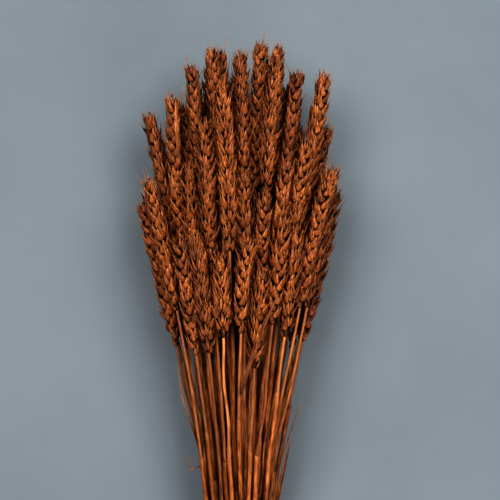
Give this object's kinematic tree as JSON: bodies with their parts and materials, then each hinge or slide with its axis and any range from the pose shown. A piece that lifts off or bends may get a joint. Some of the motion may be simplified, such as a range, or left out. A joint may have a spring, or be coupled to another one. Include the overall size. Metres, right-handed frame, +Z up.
{
  "type": "bundle of dried wheat",
  "caption": "Bundle of dried, rust-dyed wheat stalks with short-awned ears, bound at the waist with a raffia band and lying on its side.",
  "frame": {"origin": "on the surface the bundle lies on, under the middle of the bundle's box", "axes": "+Y along the bundle from the cut ends towards the ears, +Z up from the surface, +X across the bundle"},
  "size_m": [0.1378, 0.62, 0.1045],
  "materials": {
    "wheat": "dry, fibrous, matt, dyed rust orange",
    "dry_leaf": "dry, papery, matt",
    "raffia": "natural raffia, matt"
  },
  "bodies": {
    "root": {"stalk_01": "wheat", "stalk_02": "wheat", "stalk_03": "wheat", "stalk_04": "wheat", "stalk_05": "wheat", "stalk_06": "wheat", "stalk_07": "wheat", "stalk_08": "wheat", "stalk_09": "wheat", "stalk_10": "wheat", "stalk_11": "wheat", "stalk_12": "wheat", "stalk_13": "wheat", "stalk_14": "wheat", "stalk_15": "wheat", "stalk_16": "wheat", "stalk_17": "wheat", "stalk_18": "wheat", "stalk_19": "wheat", "stalk_20": "wheat", "stalk_21": "wheat", "stalk_22": "wheat", "stalk_23": "wheat", "stalk_24": "wheat", "stalk_25": "wheat", "stalk_26": "wheat", "stalk_27": "wheat", "stalk_28": "wheat", "stalk_29": "wheat", "stalk_30": "wheat", "stalk_31": "wheat", "stalk_32": "wheat", "stalk_33": "wheat", "stalk_34": "wheat", "stalk_35": "wheat", "stalk_36": "wheat", "stalk_37": "wheat", "stalk_38": "wheat", "stalk_39": "wheat", "stalk_40": "wheat", "stalk_41": "wheat", "stalk_42": "wheat", "stalk_43": "wheat", "stalk_44": "wheat", "stalk_45": "wheat", "stalk_46": "wheat", "stalk_47": "wheat", "stalk_48": "wheat", "stalk_49": "wheat", "stalk_50": "wheat", "stalk_51": "wheat", "stalk_52": "wheat", "stalk_53": "wheat", "stalk_54": "wheat", "stalk_55": "wheat", "stalk_56": "wheat", "dry_leaf_front": "dry_leaf", "dry_leaf_upper": "dry_leaf", "loose_straw": "dry_leaf", "raffia_band": "raffia"}
  },
  "joints": []
}
